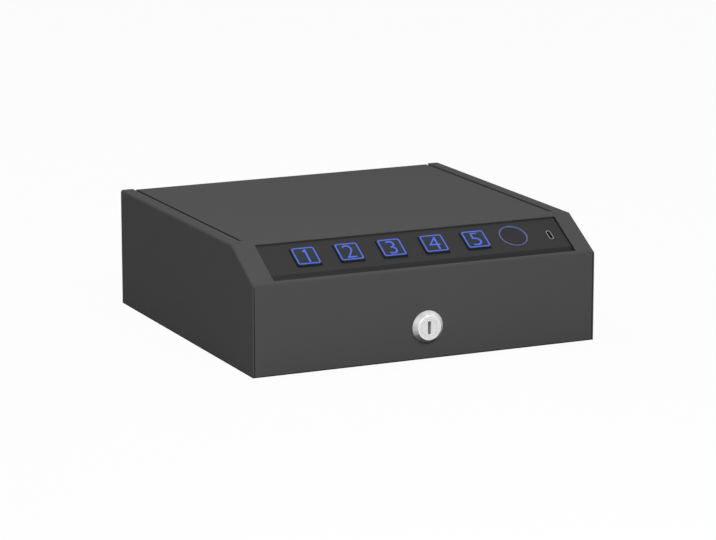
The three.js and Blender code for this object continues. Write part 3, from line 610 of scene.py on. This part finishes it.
# Fingerprint reader
reader = {
    "across": 89.3, "up": 28.4, "outer": 12.25, "inner": 10.95, "top": -1.3, "foot": -9.0,
    "round": 0.3, "ease": 0.09, "dark": 12.1, "sensor": 10.75, "sensorTop": -1.8,
    "hollow": 0.5, "edge": 0.2, "dishShares": (0, 0.2, 0.4, 0.6, 0.8, 0.97), "sides": 96,
}


def onReader(bm):
    place = onSlope @ Matrix.Translation((reader["across"], reader["up"], 0))
    bmesh.ops.transform(bm, matrix=place, verts=bm.verts)
    return bm


bm = bmesh.new()
cut, ease = reader["round"], reader["ease"]
outer, inner, top = reader["outer"], reader["inner"], reader["top"]
turned(bm, [(inner, reader["foot"]), (outer, reader["foot"]), (outer, top - cut),
            (outer - ease, top - ease), (outer - cut, top), (inner + cut, top),
            (inner + ease, top - ease), (inner, top - cut)], reader["sides"])
for face in bm.faces:                                  # the unlit outside of the ring
    spot = face.calc_center_median()
    if hypot(spot.x, spot.y) > reader["dark"]:
        face.material_index = 1
give(onReader(bm), "readerRing", "litRing", "case", "fingerprint_ring",
     "blackMoulding")

bm = bmesh.new()
dish = [(reader["sensor"] * t, reader["sensorTop"] - reader["hollow"] * (1 - t * t))
        for t in reader["dishShares"]]
turned(bm, dish + [(reader["sensor"], reader["sensorTop"] - reader["edge"]),
                   (reader["sensor"], reader["foot"]), (0, reader["foot"])], reader["sides"])
give(onReader(bm), "readerGlass", "sensorGlass", "case", "fingerprint_sensor")


# Charging port
port = {
    "across": 121, "up": 25, "long": 10.5, "wide": 4, "wall": 0.6, "top": -1.2, "foot": -9.0,
    "floor": -8.0, "round": 0.15, "steps": 14, "spare": 0.001, "tongueEdge": 0.12,
}


def onMouth(edge):
    level = all(abs(v.co.z - port["top"]) < shaping["meet"] for v in edge.verts)
    return level and edge.calc_face_angle(0) > radians(shaping["sharp"])


bm = bmesh.new()
face = roundedSquare(bm, port["across"], port["up"], port["wide"], port["long"],
                     port["wide"] / 2 - port["spare"], port["foot"], port["steps"])
rim = raised(bm, [face], port["top"] - port["foot"])
bmesh.ops.inset_region(bm, faces=rim, thickness=port["wall"], use_even_offset=True)
known = set(bm.faces)
raised(bm, rim, port["floor"] - port["top"], keep=False)
bmesh.ops.recalc_face_normals(bm, faces=bm.faces)
for face in set(bm.faces) - known:                     # painted shade: the inside walls and floor take black moulding for the dark of the hole
    face.material_index = 1
soften(bm, [edge for edge in bm.edges if onMouth(edge)], port["round"])
bmesh.ops.transform(bm, matrix=onSlope, verts=bm.verts)
give(bm, "portRim", "satinNickel", "case", "charging_port", "blackMoulding")
tongue = copied("port_tongue", [(lambda edge: True, port["tongueEdge"], 2)])
give(tongue, "portTongue", "blackMoulding", "case", "port_tongue")
print("reader and port made")


# Key lock
lock = {
    "height": 26, "bore": 6.68, "face": 9.8, "base": 13.4, "proud": 4.5, "rim": 0.9, "seat": 0.3,
    "barrel": 9.5, "end": 25, "round": 0.35, "slightly": 0.8, "sides": 128,
    "keyHalf": 1.4, "keyReach": 5.3, "keyEdge": 0.3, "keyMouth": -4.0, "keyInside": -4.1,
}


def throughLock(bm):
    place = inCase @ Matrix.Translation((0, 0, lock["height"])) @ Matrix.Rotation(pi / 2, 4, "X")
    bmesh.ops.transform(bm, matrix=place, verts=bm.verts)
    return bm


def eased(corners, radius, steps=4):                   # a third value is its share of the radius
    path = []
    for before, corner, after in zip([corners[-1]] + corners, corners, corners[1:] + corners[:1]):
        spot = Vector(corner[:2])
        if len(corner) < 3:
            path.append(spot)
            continue
        one = (Vector(before[:2]) - spot).normalized() * radius * corner[2]
        two = (Vector(after[:2]) - spot).normalized() * radius * corner[2]
        for i in range(steps + 1):
            t = i / steps
            path.append(spot + one * (1 - t) ** 2 + two * t ** 2)
    return [tuple(point) for point in path]


def atKeyway(edge):
    return middle(edge).y < lock["keyMouth"] and abs(middle(edge).x) < lock["keyHalf"]


bm = bmesh.new()
turned(bm, eased([
    (lock["bore"], lock["proud"], lock["slightly"]), (lock["face"], lock["proud"], 1),
    (lock["base"], lock["rim"], lock["slightly"]), (lock["base"], lock["seat"]),
    (lock["barrel"], lock["seat"]), (lock["barrel"], -lock["end"]),
    (lock["bore"], -lock["end"])], lock["round"]), lock["sides"])
give(throughLock(bm), "lockCollar", "lockTurnedPaintedLight", "case", "lock_housing")

plug = copied("lock_plug", [(atKeyway, lock["keyEdge"], 3)])
for face in plug.faces:                                # the wards inside the keyway
    spot = fromFront(face.calc_center_median())
    inSlot = abs(spot.x) < lock["keyHalf"] and abs(spot.z - lock["height"]) < lock["keyReach"]
    if inSlot and spot.y > lock["keyInside"]:
        face.material_index = 1
give(plug, "lockCore", "lockTurnedPaintedLight", "plug", "lock_plug", "wardSteel")
print("lock made")


# Lid springs round the hinge rod
coil = {
    "starts": [-85, 85], "turns": 8.5, "pitch": 1.4, "wire": 0.45, "radius": 2.7, "leg": 10,
    "sides": 10, "stepsPerTurn": 28,
}


def lidSpring(start):
    bm = bmesh.new()
    ring = bmesh.ops.create_circle(bm, segments=coil["sides"], radius=coil["wire"])["verts"]
    bmesh.ops.rotate(bm, cent=(0, 0, 0), matrix=Matrix.Rotation(pi / 2, 3, "X"), verts=ring)
    bmesh.ops.translate(bm, vec=(start, -coil["leg"], coil["radius"]), verts=ring)
    grown = bmesh.ops.extrude_edge_only(bm, edges=bm.edges)["geom"]
    verts = [g for g in grown if isinstance(g, bmesh.types.BMVert)]
    bmesh.ops.translate(bm, vec=(0, coil["leg"], 0), verts=verts)
    edges = [g for g in grown if isinstance(g, bmesh.types.BMEdge)
             and all(v in verts for v in g.verts)]
    steps = int(coil["turns"] * coil["stepsPerTurn"])
    wound = bmesh.ops.spin(
        bm, geom=verts + edges, cent=(0, 0, 0), axis=(-1, 0, 0),
        dvec=(coil["pitch"] * coil["turns"] / steps, 0, 0), angle=2 * pi * coil["turns"],
        steps=steps, use_merge=False, use_duplicate=False)["geom_last"]
    edges = [g for g in wound if isinstance(g, bmesh.types.BMEdge)]
    grown = bmesh.ops.extrude_edge_only(bm, edges=edges)["geom"]
    verts = [g for g in grown if isinstance(g, bmesh.types.BMVert)]
    bmesh.ops.translate(bm, vec=(0, -coil["leg"], 0), verts=verts)
    bmesh.ops.holes_fill(bm, edges=bm.edges, sides=0)
    bmesh.ops.translate(bm, vec=(0, case["depth"] - case["hingeInset"],
                                 case["height"] - case["hingeBelowTop"]), verts=bm.verts)
    bmesh.ops.recalc_face_normals(bm, faces=bm.faces)
    bmesh.ops.transform(bm, matrix=inCase, verts=bm.verts)
    return bm


for i, start in enumerate(coil["starts"]):
    give(lidSpring(start), f"lidCoil_{i + 1}", "springWire", "case", f"lid_spring_{i + 1}",
         smooth=shaping["smoothRound"])
print("springs made")


# Foam mat on the floor
mat = {
    "cells": 40, "edge": 1.0, "crown": 0.5, "fade": 40, "rimOver": 1, "level": 0.01, "fill": 0.6,
}
low, high = [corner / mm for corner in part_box("foam_mat")]
bm = bmesh.new()
sheet = bmesh.ops.create_grid(bm, x_segments=mat["cells"], y_segments=mat["cells"],
                              size=0.5)["verts"]
bmesh.ops.scale(bm, vec=(high.x - low.x, high.y - low.y, 1), verts=sheet)
bmesh.ops.translate(bm, vec=((high.x + low.x) / 2, (high.y + low.y) / 2, low.z), verts=sheet)
bm.normal_update()
raised(bm, list(bm.faces), high.z - low.z)
rims = [e for e in bm.edges if e.calc_face_angle(0) > radians(shaping["sharp"])
        and all(v.co.z > low.z + mat["rimOver"] for v in e.verts)]
soften(bm, rims, mat["edge"], segments=4)
for vert in bm.verts:                                  # the top falls away towards its edges
    if vert.co.z > high.z - mat["level"]:
        inset = min(high.x - abs(vert.co.x), vert.co.y - low.y, high.y - vert.co.y)
        vert.co.z -= mat["crown"] * max(0, 1 - inset / mat["fade"]) ** 2
bmesh.ops.recalc_face_normals(bm, faces=bm.faces)
bmesh.ops.scale(bm, vec=(mm, mm, mm), verts=bm.verts)
padding = give(bm, "floorMat", "foamCells", "case", "foam_mat",
               smooth=shaping["smoothRound"])
print("mat made")


# Nodes that keep their CAD shape
keptFinishes = {
    "caseCoat": ["rear_panel"],
    "lidCoat": ["base_plate", "inner_cover"],
    "zincPlate": [
        "hinge_rod", "hinge_bracket_1", "hinge_bracket_2", "hinge_ear_1", "hinge_ear_2",
        "striker", "latch_bolt", "solenoid_plunger", "solenoid_frame", "release_link",
        "latch_bracket", "lock_nut", "lock_cam"]
    + [f"{kind}_{n}" for kind in ("bezel_nut", "board_screw") for n in range(1, 5)],
    "turnedBrass": ["cam_nut"],
    "copperWinding": ["solenoid_coil"],
    "boardMask": ["circuit_board"],
    "blackMoulding": ["battery_tray", "battery_door", "bolt_guide"]
    + [f"key_switch_{n}" for n in range(1, 6)],
    "softRubber": ["lid_bumper_1", "lid_bumper_2"],
    "cellJacket": [f"battery_{n}" for n in range(1, 5)],
}
for finish, nodes in keptFinishes.items():
    for node in nodes:
        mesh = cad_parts[node].data
        mesh.materials.clear()
        mesh.materials.append(finishes[finish])
print("kept nodes dressed")


# Floor, light and camera, in metres and watts
studio = {
    "floor": 4.0, "under": 0.0002, "paper": 0.6, "unlit": 0.96, "sky": 0.30,
    "aim": (0, 0, 0.04),
    "lamps": {                                         # power, diameter and place
        "overheadSoftbox": (18.6, 1.2, (-0.53, 0.36, 1.88)),
        "highSoftbox": (6.8, 0.4, (0.42, -1.25, 1.4)),
        "frontSoftbox": (3.3, 0.5, (-0.22, -0.9, 0.45)),
    },
}
bm = bmesh.new()
bmesh.ops.create_grid(bm, x_segments=1, y_segments=1, size=studio["floor"])
floorMesh = bpy.data.meshes.new("studioFloor")
bm.to_mesh(floorMesh)
bm.free()
floor = bpy.data.objects.new("studioFloor", floorMesh)
floor.location.z = cadBox[0].z - studio["under"]       # so that it never meets the base plate
bpy.context.collection.objects.link(floor)

f = Finish("studioWhite")
white = f.node("ShaderNodeEmission", values={"Color": (1, 1, 1, 1), "Strength": 1.0})
paper = f.node("ShaderNodeBsdfDiffuse", values={"Color": [studio["paper"]] * 3 + [1]})
floorMesh.materials.append(f.done(None, f.node("ShaderNodeMixShader", values={
    0: f.seen() * studio["unlit"], 1: paper, 2: white})))

world = bpy.data.worlds.new("studioSky")
world.use_nodes = True
sky = Nodes(world.node_tree)
background = sky.node("ShaderNodeBackground", values={
    "Color": (1, 1, 1, 1), "Strength": sky.seen() * (1 - studio["sky"]) + studio["sky"]})
sky.node("ShaderNodeOutputWorld", values={"Surface": background})
bpy.context.scene.world = world

for name, (power, size, place) in studio["lamps"].items():
    light = bpy.data.lights.new(name, "AREA")
    light.shape = "DISK"
    light.size = size
    light.energy = power
    holder = bpy.data.objects.new(name, light)
    holder.location = place
    towards = Vector(studio["aim"]) - Vector(place)
    holder.rotation_euler = towards.to_track_quat("-Z", "Y").to_euler()
    bpy.context.collection.objects.link(holder)

view = {
    "place": (-1.09607, -2.37475, 0.62822), "turn": (77.403, 0, -24.861), "lens": 162.505,
    "sensor": 36, "near": 0.05,
}
camera = bpy.data.cameras.new("photoCamera")
camera.sensor_width = view["sensor"]
camera.sensor_fit = "HORIZONTAL"
camera.lens = view["lens"]
camera.clip_start = view["near"]
cameraHolder = bpy.data.objects.new("photoCamera", camera)
cameraHolder.location = view["place"]
cameraHolder.rotation_euler = [radians(a) for a in view["turn"]]
bpy.context.collection.objects.link(cameraHolder)
bpy.context.scene.camera = cameraHolder
bpy.context.scene.view_settings.view_transform = "Standard"
print("studio made")
